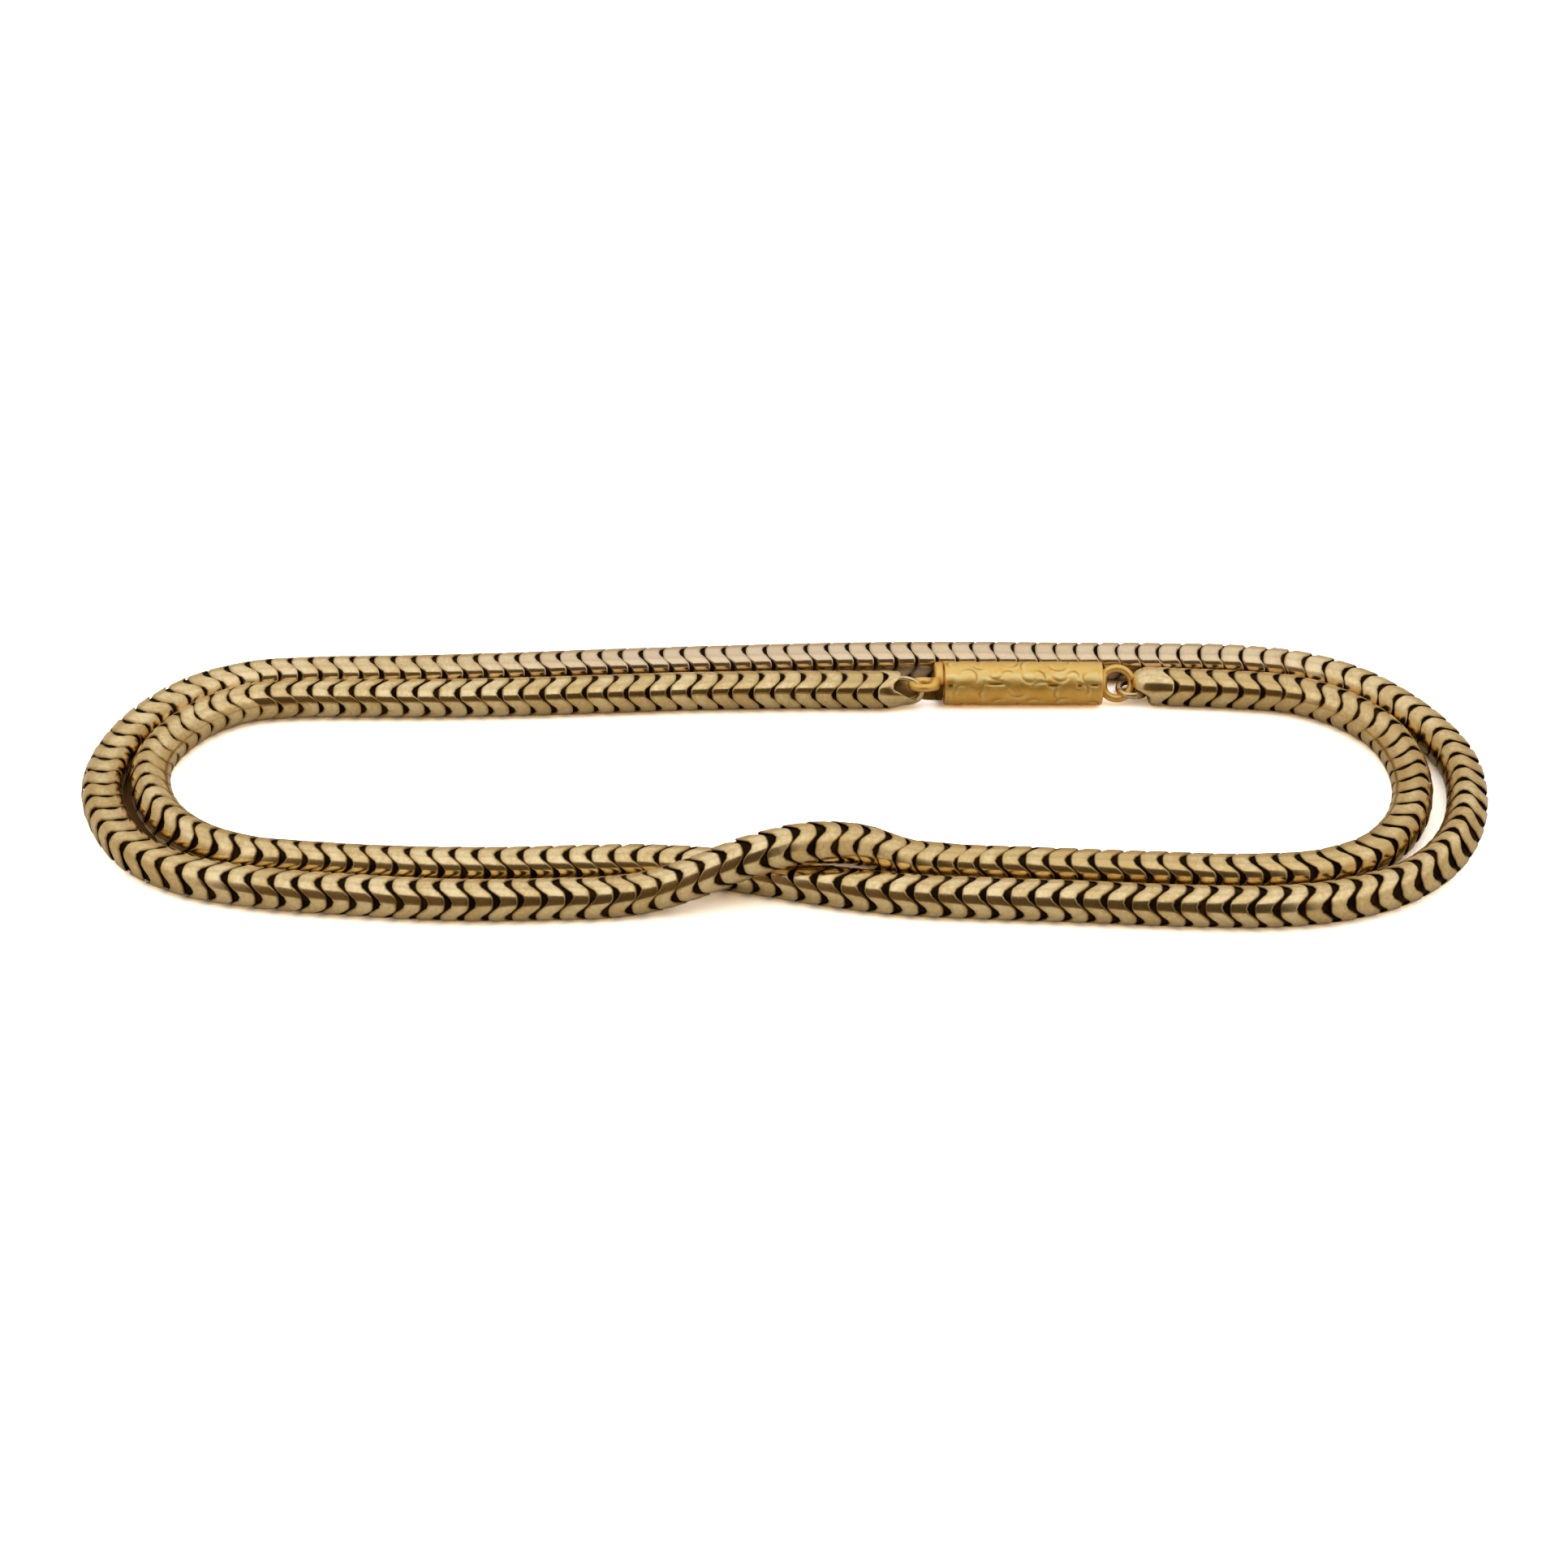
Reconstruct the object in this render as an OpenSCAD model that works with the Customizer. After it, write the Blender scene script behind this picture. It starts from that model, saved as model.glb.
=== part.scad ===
/* [Chain] */
// Diameter of the snake chain over its links
chain_d = 3; // [2.8:0.05:3.05]
// Sides of the plain tube that holds the space of the links
chain_sides = 8; // [8:2:12]

/* [End caps] */
// Diameter of the cups on the chain's ends
cap_d = 3; // [2.8:0.05:3.1]
// Gap between a cup and the last link
cap_gap = 0.1; // [0.05:0.05:0.2]
// Wire thickness of the cups' eyes
eye_wire = 0.5; // [0.4:0.05:0.55]
// Length of the left cup's straight part
left_cup_l = 0.9; // [0.7:0.1:1]
// Diameter of the left, upright eye along the middle of its wire
left_eye_d = 2.4; // [2.3:0.05:2.45]
// Turn of the left cup about the vertical
left_turn = 2; // [0:0.5:3]
// Length of the right cup's straight part
right_cup_l = 1.4; // [1:0.1:1.5]
// Length of the right cup's taper
right_taper_l = 0.9; // [0.6:0.1:1]
// Diameter of the right, flat eye along the middle of its wire
right_eye_d = 2; // [1.9:0.05:2.1]
// Turn of the right cup about the vertical
right_turn = -5; // [-6:0.5:-4]

/* [Clasp] */
// Outside diameter of the barrel
barrel_d = 3.4; // [3.3:0.05:3.5]
// Length of the barrel
barrel_l = 12.3; // [12:0.1:12.3]
// Width of the edge chamfer on the barrel's ends
barrel_chamfer = 0.15; // [0.1:0.05:0.25]
// Diameter of the hollow in the barrel
socket_d = 2.4; // [2.3:0.05:2.6]
// Depth of the hollow in the barrel
socket_l = 10.5; // [10:0.1:11]
// Diameter of the plain tongue that slides into the barrel
tongue_d = 2.2; // [1.8:0.05:2.25]
// Length of the plain tongue
tongue_l = 9.6; // [8:0.1:9.8]
// Diameter of the collar that closes the barrel's mouth
collar_d = 2.8; // [2.6:0.05:3]
// Thickness of the collar
collar_l = 0.65; // [0.5:0.05:0.7]
// Gap between the collar and the barrel's mouth
mouth_gap = 0.1; // [0.05:0.05:0.15]
// Wire thickness of the clasp's two rings
ring_wire = 0.48; // [0.4:0.02:0.5]
// Diameter of the collar's flat ring along the middle of its wire
flat_ring_d = 2.1; // [2.05:0.05:2.15]
// Diameter of the barrel's upright ring along the middle of its wire
upright_ring_d = 2.35; // [2.3:0.05:2.4]

/* [Hidden] */
$fn = 48;

// Route of the chain: x, y, and how far its centre line is lifted above lying flat
route = [
    [7.4, 11.8, 0], [0.5, 11.8, 0], [-7, 11.6, 0], [-14, 11.2, 0], [-21, 10.8, 0],
    [-28, 10.6, 0], [-34, 10.6, 0], [-38.2, 10.5, 0], [-41.5, 9.9, 0], [-44.3, 8, 0],
    [-46.3, 5.1, 0], [-47.3, 1.6, 0], [-46.8, -2, 0], [-45.1, -5.5, 0], [-42.2, -8.3, 0],
    [-38.5, -10, 0], [-34, -10.7, 0], [-27, -11.3, 0], [-20, -11.4, 0], [-13, -11.1, 0],
    [-9, -11.1, 0], [-5.3, -11.5, 0], [-1.5, -12.3, 0], [3, -13.5, 0], [8, -14.5, 0],
    [14, -15, 0], [21, -15.4, 0], [29, -15.9, 0], [35, -15.9, 0], [40, -15, 0],
    [44, -13.2, 0], [47.2, -10.3, 0], [49.3, -6.7, 0], [50.4, -2.8, 0], [50.6, 1.3, 0],
    [49.5, 5.4, 0], [47.4, 9.2, 0], [44.5, 12.4, 0], [40.5, 14.6, 0], [36, 15.5, 0],
    [30, 15.8, 0], [22, 15.9, 0], [14, 16, 0], [5, 15.9, 0], [-4, 15.5, 0],
    [-13, 15, 0], [-22, 14.4, 0], [-30, 14, 0], [-36.8, 13.8, 0], [-41.5, 13.2, 0],
    [-45.4, 11.3, 0], [-48.4, 7.9, 0], [-50.2, 3.5, 0], [-50.6, -1, 0], [-49.3, -5.5, 0],
    [-46.5, -9.7, 0], [-42.5, -12.3, 0], [-37.4, -13.7, 0], [-30.5, -14.6, 0], [-23, -15.2, 0],
    [-16, -15.1, 0], [-12.5, -14.9, 0], [-9.5, -14.6, 0.3], [-6, -14.3, 1.4], [-2.5, -13.8, 2.7],
    [1.8, -12.7, 3.1], [5.5, -11.6, 2.1], [8.7, -11.2, 0.6], [12, -11, 0], [18, -11.4, 0],
    [26, -11.9, 0], [33.5, -12.2, 0], [38.6, -11.6, 0], [42.2, -9.8, 0], [44.9, -6.6, 0],
    [46.4, -2.5, 0], [46.6, 1.8, 0], [45.6, 5.7, 0], [43.3, 8.8, 0], [39.8, 11, 0],
    [35.2, 11.8, 0], [30.2, 12.2, 0],
];

// Place of the clasp: the barrel lies along X, its open mouth to the left
barrel_x = 12.45;
clasp_y = 12.4;
// Place of the middle of the collar's flat ring
flat_ring_at = [10.8, 12.2];

chain_z = chain_d / 2;
last = len(route) - 1;

function unit(v) = v / norm(v);
function centre(i) = [route[i].x, route[i].y, route[i].z + chain_z];
function heading(i) = unit(centre(min(i + 1, last)) - centre(max(i - 1, 0)));
function across(i) = unit(cross(heading(i), [0, 0, 1]));

// Corners of the tube's cross-section at one point of the route, one corner straight down
function section(i) = [
    for (k = [0 : chain_sides - 1])
        let (a = 360 * k / chain_sides)
        centre(i) + chain_z * (cos(a) * across(i) + sin(a) * cross(across(i), heading(i)))
];

// Two triangles between corner k of section i and the next section
function side_faces(i, k) =
    let (a = i * chain_sides + k, b = i * chain_sides + (k + 1) % chain_sides)
    [[a, b, b + chain_sides], [a, b + chain_sides, a + chain_sides]];

module chain() {
    first_face = [for (k = [chain_sides - 1 : -1 : 0]) k];
    last_face = [for (k = [0 : chain_sides - 1]) last * chain_sides + k];
    sides = [for (i = [0 : last - 1]) for (k = [0 : chain_sides - 1]) each side_faces(i, k)];
    color([0.78, 0.62, 0.36])
        polyhedron(
            points = [for (i = [0 : last]) each section(i)],
            faces = [first_face, last_face, each sides]
        );
}

// Round wire bent to a closed ring, lying flat
module wire_ring(d, wire) {
    rotate_extrude()
        translate([d / 2, 0])
            circle(d = wire, $fn = 24);
}

// Round bar along +X from the origin
module bar(d1, d2, l) {
    rotate([0, 90, 0])
        cylinder(d1 = d1, d2 = d2, h = l);
}

// Left cup with its upright eye, which grows out of the cup's closed end
module end_cap_left() {
    color([0.80, 0.66, 0.40])
        translate([route[0].x, route[0].y, chain_z])
            rotate([0, 0, left_turn])
                translate([cap_gap, 0, 0])
                    union() {
                        bar(cap_d, cap_d, left_cup_l);
                        translate([left_cup_l + left_eye_d / 2 - eye_wire / 2, 0, 0])
                            rotate([90, 0, 0])
                                wire_ring(left_eye_d, eye_wire);
                    }
}

// Right cup, tapered to its flat eye
module end_cap_right() {
    color([0.80, 0.66, 0.40])
        translate([route[last].x, route[last].y, chain_z])
            rotate([0, 0, 180 + right_turn])
                translate([cap_gap, 0, 0])
                    union() {
                        bar(cap_d, cap_d, right_cup_l);
                        translate([right_cup_l, 0, 0])
                            bar(cap_d, cap_d / 2, right_taper_l);
                        translate([right_cup_l + right_taper_l + right_eye_d / 2 - eye_wire / 2, 0, 0])
                            wire_ring(right_eye_d, eye_wire);
                    }
}

// Collar with its flat ring on one side and its plain tongue in the barrel on the other
module clasp_plug() {
    collar_x = barrel_x - mouth_gap - collar_l;
    color([0.76, 0.58, 0.28])
        union() {
            translate([collar_x, clasp_y, barrel_d / 2])
                bar(collar_d, collar_d, collar_l);
            translate([collar_x, clasp_y, barrel_d / 2])
                bar(tongue_d, tongue_d, collar_l + mouth_gap + tongue_l);
            translate([flat_ring_at.x, flat_ring_at.y, barrel_d / 2])
                wire_ring(flat_ring_d, ring_wire);
        }
}

// Tube with one closed end, on which the upright ring is soldered
module clasp_barrel() {
    wall_r = barrel_d / 2;
    color([0.76, 0.58, 0.28])
        translate([barrel_x, clasp_y, wall_r])
            union() {
                difference() {
                    rotate([0, 90, 0])
                        rotate_extrude()
                            polygon([
                                [0, 0],
                                [wall_r - barrel_chamfer, 0],
                                [wall_r, barrel_chamfer],
                                [wall_r, barrel_l - barrel_chamfer],
                                [wall_r - barrel_chamfer, barrel_l],
                                [0, barrel_l],
                            ]);
                    bar(socket_d, socket_d, socket_l);
                }
                translate([barrel_l + upright_ring_d / 2, 0, 0])
                    rotate([90, 0, 0])
                        wire_ring(upright_ring_d, ring_wire);
            }
}

chain();
end_cap_left();
end_cap_right();
clasp_plug();
clasp_barrel();
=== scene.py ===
"""An old gold snake chain with an engraved barrel clasp, lying doubled in a flat oval."""

import math
import random

import bmesh
import bpy
from mathutils import Matrix, Vector


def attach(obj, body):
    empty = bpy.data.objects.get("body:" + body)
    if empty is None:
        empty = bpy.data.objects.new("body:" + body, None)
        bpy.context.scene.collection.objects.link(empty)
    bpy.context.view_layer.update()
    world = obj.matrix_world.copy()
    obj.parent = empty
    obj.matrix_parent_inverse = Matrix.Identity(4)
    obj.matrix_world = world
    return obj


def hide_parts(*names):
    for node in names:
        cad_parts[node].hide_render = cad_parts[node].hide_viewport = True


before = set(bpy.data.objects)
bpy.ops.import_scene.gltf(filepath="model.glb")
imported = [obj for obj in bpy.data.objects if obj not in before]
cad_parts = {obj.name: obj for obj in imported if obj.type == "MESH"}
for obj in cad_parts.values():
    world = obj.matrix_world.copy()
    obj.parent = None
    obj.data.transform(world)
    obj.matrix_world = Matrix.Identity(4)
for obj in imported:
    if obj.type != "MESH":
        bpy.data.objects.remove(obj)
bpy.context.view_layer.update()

# The view
# A long lens in front of the chain looks 35 degrees down on the middle of the oval.

MM = 0.001
scene = bpy.context.scene

view_target = Vector((0, -1, 1.5)) * MM
view_elevation = math.radians(35)
view_distance = 220 * MM
lens_mm = 68
sensor_mm = 36

camera = bpy.data.objects.new("camera", bpy.data.cameras.new("camera"))
camera.data.lens = lens_mm
camera.data.sensor_width = sensor_mm
camera.data.clip_start = 5 * MM
camera.data.clip_end = 20
view_back = Vector((0, -math.cos(view_elevation), math.sin(view_elevation)))
camera.location = view_target + view_distance * view_back
camera.rotation_euler = (math.radians(90) - view_elevation, 0, 0)
scene.collection.objects.link(camera)
scene.camera = camera

# The light tent and the table
# White cloth stands all round and above, brightest overhead, over a white table top.
# It is open in front, towards the lens, so that polished gold carries one dark band.


class Value:
    """A socket of a shader. Arithmetic on it adds Math nodes."""

    def __init__(self, shader, socket):
        self.shader = shader
        self.socket = socket

    def reckon(self, operation, first, second):
        return self.shader.node("ShaderNodeMath", {"operation": operation}, {0: first, 1: second})

    def __add__(self, other):
        return self.reckon("ADD", self, other)

    def __radd__(self, other):
        return self.reckon("ADD", other, self)

    def __sub__(self, other):
        return self.reckon("SUBTRACT", self, other)

    def __rsub__(self, other):
        return self.reckon("SUBTRACT", other, self)

    def __mul__(self, other):
        return self.reckon("MULTIPLY", self, other)

    def __rmul__(self, other):
        return self.reckon("MULTIPLY", other, self)

    def __truediv__(self, other):
        return self.reckon("DIVIDE", self, other)

    def __abs__(self):
        return self.shader.node("ShaderNodeMath", {"operation": "ABSOLUTE"}, {0: self})

    def at_least(self, least):
        return self.reckon("MAXIMUM", self, least)


class Shader:
    """The nodes of one material, or of the light tent."""

    def __init__(self, owner):
        owner.use_nodes = True
        self.tree = owner.node_tree
        self.tree.nodes.clear()

    def node(self, kind, settings=None, sockets=None, output=0):
        made = self.tree.nodes.new(kind)
        for name, setting in (settings or {}).items():
            setattr(made, name, setting)
        for name, value in (sockets or {}).items():
            if isinstance(value, Value):
                self.tree.links.new(value.socket, made.inputs[name])
            else:
                made.inputs[name].default_value = value
        return Value(self, made.outputs[output]) if made.outputs else None

    def passage(self, value, low, high, start=0.0, end=1.0):
        """start where value is below low, end where it is above high, smooth in between."""
        return self.node(
            "ShaderNodeMapRange",
            {"interpolation_type": "SMOOTHSTEP"},
            {"Value": value, "From Min": low, "From Max": high, "To Min": start, "To Max": end},
        )

    def mix(self, share, first, second):
        """The first colour where share is 0, the second where it is 1."""
        # A Mix node's colour sockets share their names with others, so they go by number
        return self.node("ShaderNodeMix", {"data_type": "RGBA"}, {0: share, 6: first, 7: second}, 2)

    def noise(self, place, scale, detail):
        return self.node("ShaderNodeTexNoise", {}, {"Vector": place, "Scale": scale, "Detail": detail})


wall_light = 0.58
top_light = 0.98
seam_light = 0.75
back_light = 0.86
wall_colour = (1, 0.88, 0.7, 1)
cloth_colour = (1, 0.985, 0.96, 1)
left_opening_colour = (0.12, 0.073, 0.029, 1)
right_opening_colour = (0.066, 0.045, 0.018, 1)
# Edges of the opening, sideways and up, as shares of the distance to the front, and how soft they
# are outside and inside
opening_left = 0.85
opening_right = 0.6
side_soft_outside = 0.15
side_soft_inside = 0.25
opening_low = 0.0
sill_soft_outside = 0.02
sill_soft_inside = 0.04
opening_high = 1.33
top_soft = 0.05
# Where its left colour passes into its right one
colours_meet = (-0.25, 0.1)
# Height of a direction between which the walls pass into the roof
roof_edge = (0.35, 0.75)
# The seam across the roof starts and stops a little behind straight overhead, as shares of the height
seam_start = (0.02, 0.16)
seam_stop = (0.24, 0.4)
# How far behind straight overhead the roof has its back light
roof_back = 0.5
never_zero = 0.001

world = bpy.data.worlds.new("light_tent")
scene.world = world
tent = Shader(world)
direction = tent.node("ShaderNodeTexCoord", output="Generated")
to_right, to_back, to_top = [
    tent.node("ShaderNodeSeparateXYZ", {}, {0: direction}, axis) for axis in "XYZ"
]
to_front = (-1 * to_back).at_least(never_zero)
sideways = to_right / to_front
rise = to_top / to_front
past_left = tent.passage(sideways, -opening_left - side_soft_outside, -opening_left + side_soft_inside)
before_right = tent.passage(
    sideways, opening_right - side_soft_inside, opening_right + side_soft_outside, 1, 0
)
over_sill = tent.passage(rise, opening_low - sill_soft_outside, opening_low + sill_soft_inside)
under_edge = tent.passage(rise, opening_high - top_soft, opening_high + top_soft, 1, 0)
opening = past_left * before_right * over_sill * under_edge
# How far behind straight overhead, as a share of the height
backward = to_back / to_top.at_least(never_zero)
overhead = tent.passage(to_top, *roof_edge)
seam = tent.passage(backward, *seam_start) * tent.passage(backward, *seam_stop, 1, 0)
roof = tent.passage(backward, 0.0, roof_back, top_light, back_light)
roof = roof * (1 - seam) + seam_light * seam
strength = roof * overhead + wall_light * (1 - overhead)
cloth = tent.mix(overhead, wall_colour, cloth_colour)
to_right_side = tent.passage(sideways, *colours_meet)
opening_colour = tent.mix(to_right_side, left_opening_colour, right_opening_colour)
tent_light = {
    "Color": tent.mix(opening, cloth, opening_colour),
    "Strength": strength * (1 - opening) + opening,
}
tent.node("ShaderNodeOutputWorld", {}, {0: tent.node("ShaderNodeBackground", {}, tent_light)})

# Half the width of the table top, in metres
table_half_width = 3.0
paper_white = (4.0, 3.97, 3.93, 1)
paper_shade = (0.3, 0.16, 0.06, 1)
# The gold mirrors the paper as a plainer white
mirrored_paper = {"Base Color": (0.78, 0.73, 0.63, 1), "Roughness": 0.9, "Specular IOR Level": 0.1}
# The paper is in deep shade between the strands of the left bend, along a shallow curve. All in
# millimetres: the curve's middle, its bend, how wide the shade is, and where it starts and stops
bend_x = -48.8
bend_y = 1
bend_curve = 0.04
bend_width = (1.0, 1.6)
bend_start = (-8, -6)
bend_stop = (3, 5)
# Oval places in shade, in millimetres: middle, half sizes and how deep the shade is. They are behind
# the strand that crosses over, the right cup's eye and the left cup's lip
shaded_places = [
    (4.7, -9.2, 2.9, 0.9, 0.94),
    (27.3, 13.8, 1.1, 0.6, 1.0),
    (10.42, 13.0, 0.3, 0.3, 1.0),
]
# Squared distances from an oval's middle, as shares of its size, between which its shade fades
oval_fade = (0.5, 2.2)

table_form = bmesh.new()
bmesh.ops.create_grid(table_form, x_segments=1, y_segments=1, size=table_half_width)
table_mesh = bpy.data.meshes.new("table")
table_form.to_mesh(table_mesh)
table_form.free()
table = bpy.data.objects.new("table", table_mesh)
scene.collection.objects.link(table)
table_white = bpy.data.materials.new("table_white")
white = Shader(table_white)
table_place = white.node("ShaderNodeTexCoord", output="Object")
across, along = [
    white.node("ShaderNodeSeparateXYZ", {}, {0: table_place}, axis) / MM for axis in "XY"
]
from_bend = along - bend_y
from_curve = abs(across - bend_x - bend_curve * from_bend * from_bend)
in_bend = white.passage(along, *bend_start) * white.passage(along, *bend_stop, 1, 0)
shade = white.passage(from_curve, *bend_width, 1, 0) * in_bend
for middle_x, middle_y, half_x, half_y, deep in shaded_places:
    oval_x = (across - middle_x) / half_x
    oval_y = (along - middle_y) / half_y
    shade = shade + white.passage(oval_x * oval_x + oval_y * oval_y, *oval_fade, deep, 0)
lit_paper = white.node(
    "ShaderNodeBsdfDiffuse", {}, {"Color": white.mix(shade, paper_white, paper_shade)}
)
gold_sees = white.node("ShaderNodeBsdfPrincipled", {}, mirrored_paper)
seen = white.node("ShaderNodeLightPath", output="Is Camera Ray")
table_surface = white.node("ShaderNodeMixShader", {}, {0: seen, 1: gold_sees, 2: lit_paper})
white.node("ShaderNodeOutputMaterial", {}, {0: table_surface})
table_mesh.materials.append(table_white)
scene.view_settings.view_transform = "Standard"

# The chain
# About 260 stamped gold rings, each bent into three waves, nest in one another along the chain.
# Each ring's edges curl in, so that the next one can turn in it; a tube painted dark, as shade, is the
# chain's inside.

chain_radius = 1.5 * MM
waves = 3
# Front edge of a link, ahead of its middle: far forward at a tip, near in the notch between tips
edge_notch = 0.11 * MM
edge_reach = 0.98 * MM
# The same where the links lie snug
snug_notch = 0.45 * MM
snug_reach = 0.48 * MM
# Share of that reach against degrees from a forward tip: the tips are broad, the notches too
edge_curve = [
    (0, 1.0), (12, 0.99), (20, 0.92), (26, 0.81), (30, 0.7), (36, 0.52), (42, 0.33), (48, 0.14),
    (53, 0.03), (60, 0.0),
]
# Places of a link's corners round one wave, in degrees from a forward tip
front_stations = (0, 14, 24, 36, 48, 60, 72, 84, 96, 106)
back_stations = (0, 12, 24, 36, 46, 60, 74, 84, 96, 108)
# Cross-section of a link from its back edge to its front edge: whether it goes by the front edge,
# how far inside that edge, how far from the axis, place across the link from -1 to 1, how dark it is
# painted in the notches and between them, as patina and as shade by the gaps, and how many degrees
# it leans forward
link_outline = [
    (False, 0.0, 1.43 * MM, -1.0, 0.6, 0.6, -27),
    (False, 0.11 * MM, 1.5 * MM, -0.8, 0.0, 0.0, -2),
    (True, 0.16 * MM, 1.5 * MM, 0.7, 0.0, 0.0, 2),
    (True, 0.0, 1.4 * MM, 1.0, 0.6, 0.65, 27),
]
notch_half_width = math.radians(20)
inside_radius = 1.36 * MM
inside_sides = 12
# How far the dark inside reaches into the cups
inside_overlap = 0.9 * MM
# Distance from the chain's end to the middle of the link next to it
end_link = 0.72 * MM

# Route of the chain: x, y, and how far its centre line is lifted above lying flat
route = [
    (7.4, 11.8, 0), (0.5, 11.8, 0), (-7, 11.6, 0), (-14, 11.2, 0), (-21, 10.8, 0),
    (-28, 10.6, 0), (-34, 10.6, 0), (-38.2, 10.5, 0), (-41.5, 9.9, 0), (-44.3, 8, 0),
    (-46.3, 5.1, 0), (-47.3, 1.6, 0), (-46.8, -2, 0), (-45.1, -5.5, 0), (-42.2, -8.3, 0),
    (-38.5, -10, 0), (-34, -10.7, 0), (-27, -11.3, 0), (-20, -11.4, 0), (-13, -11.1, 0),
    (-9, -11.1, 0), (-5.3, -11.5, 0), (-1.5, -12.3, 0), (3, -13.5, 0), (8, -14.5, 0),
    (14, -15, 0), (21, -15.4, 0), (29, -15.9, 0), (35, -15.9, 0), (40, -15, 0),
    (44, -13.2, 0), (47.2, -10.3, 0), (49.3, -6.7, 0), (50.4, -2.8, 0), (50.6, 1.3, 0),
    (49.5, 5.4, 0), (47.4, 9.2, 0), (44.5, 12.4, 0), (40.5, 14.6, 0), (36, 15.5, 0),
    (30, 15.8, 0), (22, 15.9, 0), (14, 16, 0), (5, 15.9, 0), (-4, 15.5, 0),
    (-13, 15, 0), (-22, 14.4, 0), (-30, 14, 0), (-36.8, 13.8, 0), (-41.5, 13.2, 0),
    (-45.4, 11.3, 0), (-48.4, 7.9, 0), (-50.2, 3.5, 0), (-50.6, -1, 0), (-49.3, -5.5, 0),
    (-46.5, -9.7, 0), (-42.5, -12.3, 0), (-37.4, -13.7, 0), (-30.5, -14.6, 0), (-23, -15.2, 0),
    (-16, -15.1, 0), (-12.5, -14.9, 0), (-9.5, -14.6, 0.3), (-6, -14.3, 1.4), (-2.5, -13.8, 2.7),
    (1.8, -12.7, 3.1), (5.5, -11.6, 2.1), (8.7, -11.2, 0.6), (12, -11, 0), (18, -11.4, 0),
    (26, -11.9, 0), (33.5, -12.2, 0), (38.6, -11.6, 0), (42.2, -9.8, 0), (44.9, -6.6, 0),
    (46.4, -2.5, 0), (46.6, 1.8, 0), (45.6, 5.7, 0), (43.3, 8.8, 0), (39.8, 11, 0),
    (35.2, 11.8, 0), (30.2, 12.2, 0),
]
route_points = [Vector((x, y, chain_radius / MM + lift)) * MM for x, y, lift in route]

# How the chain is twisted: millimetres from its left end, and degrees from the outer side of the
# loop up to a tip that points forward
twist = [
    (0, 40), (5, 42), (13, 35), (27, 19), (41, 2), (48, -4), (55, 6), (62, 15), (69, 36), (76, 44),
    (83, 40), (90, 24), (97, 11), (108, -4), (118, -11), (132, -14), (146, -30), (153, -38),
    (160, -31), (167, -21), (174, -4), (188, -7), (202, 0), (209, -8), (223, -30), (232, -21),
    (251, -18), (272, -36), (286, -29), (300, -17), (314, 3), (321, 13), (335, 38), (342, 51),
    (349, 70), (363, 98), (370, 118), (384, 143), (398, 165), (412, 193), (418, 208), (424, 213),
    (431, 206),
]
# How far apart the links stand, in millimetres, against the same distance
pitches = [
    (0, 1.61), (40, 1.63), (48, 1.68), (60, 1.62), (100, 1.62), (118, 1.69), (150, 1.7), (165, 1.75),
    (190, 1.75), (202, 1.63), (270, 1.61), (282, 1.68), (318, 1.68), (340, 1.66), (372, 1.62),
    (398, 1.65), (412, 1.75), (424, 1.72), (431, 1.63),
]
# Where the metal looks paler and pinker, from 0 to 1, against the same distance
blush_table = [(0, 0), (186, 0), (202, 0.75), (246, 0.9), (262, 0.2), (285, 0), (431, 0)]
# Where it looks deeper and yellower
depth_table = [
    (0, 0.06), (45, 0), (150, 0), (172, 0.08), (190, 0), (345, 0), (375, 0.14), (431, 0.18),
]
# How snug the links lie, from 0 to 1: where they are snug, their waves show less
snug_table = [
    (0, 0.3), (14, 0.25), (34, 0.1), (50, 0.2), (60, 0.3), (68, 0), (166, 0), (180, 0.75), (203, 1),
    (214, 1), (230, 0.65), (246, 0.4), (266, 0.3), (290, 0.2), (297, 0.35), (306, 0), (388, 0),
    (397, 0.45), (414, 0.4), (431, 0.25),
]
# How dark the links' edges are painted between the notches, as patina and as shade, as a share of
# the darkening in link_outline
edge_darkening_table = [
    (0, 0.35), (30, 0.5), (56, 0.6), (68, 1), (164, 1), (182, 0.4), (203, 0.3), (262, 0.25),
    (298, 0.5), (308, 0.9), (370, 1), (390, 0.6), (431, 0.7),
]
# Where the links are worn to flats above and below a crown that faces the front
crown_table = [
    (0, 1), (35, 1), (50, 0), (190, 0), (200, 1), (262, 1), (280, 0.3), (300, 0), (398, 0), (410, 0.8),
    (431, 0.8),
]
# How far up from the front the crown is, how far the flats reach, and how much they turn the light,
# in degrees
crown_up = 30
crown_reach = 45
crown_turn = 10
# Where a strand's low front side is tucked behind the strand before it, and is painted darker, as shade
tucked_table = [(0, 0), (196, 0), (204, 1), (262, 1), (275, 0.5), (290, 0), (431, 0)]
tucked_low = 1.7 * MM
tucked_high = 2.1 * MM
tucked_shade = 0.4
# How much the links differ: their roll and their tilt in degrees, their colour's depth, and the
# least share of the blush that a link has
roll_play = 2
tilt_play = 1
tone_play = 0.1
least_blush = 0.75


def smooth_route(points, step):
    """Close-set points of a cubic curve through the given ones."""
    chords = [(b - a).length for a, b in zip(points, points[1:])]
    slopes = [(points[1] - points[0]) / chords[0]]
    for i in range(1, len(points) - 1):
        before = (points[i] - points[i - 1]) / chords[i - 1]
        after = (points[i + 1] - points[i]) / chords[i]
        share = chords[i] / (chords[i - 1] + chords[i])
        slopes.append(before * share + after * (1 - share))
    slopes.append((points[-1] - points[-2]) / chords[-1])
    curve = []
    for i, chord in enumerate(chords):
        count = max(2, round(chord / step))
        for k in range(count):
            t = k / count
            curve.append(
                (2 * t**3 - 3 * t**2 + 1) * points[i]
                + (t**3 - 2 * t**2 + t) * chord * slopes[i]
                + (3 * t**2 - 2 * t**3) * points[i + 1]
                + (t**3 - t**2) * chord * slopes[i + 1]
            )
    return curve + [points[-1]]


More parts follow.
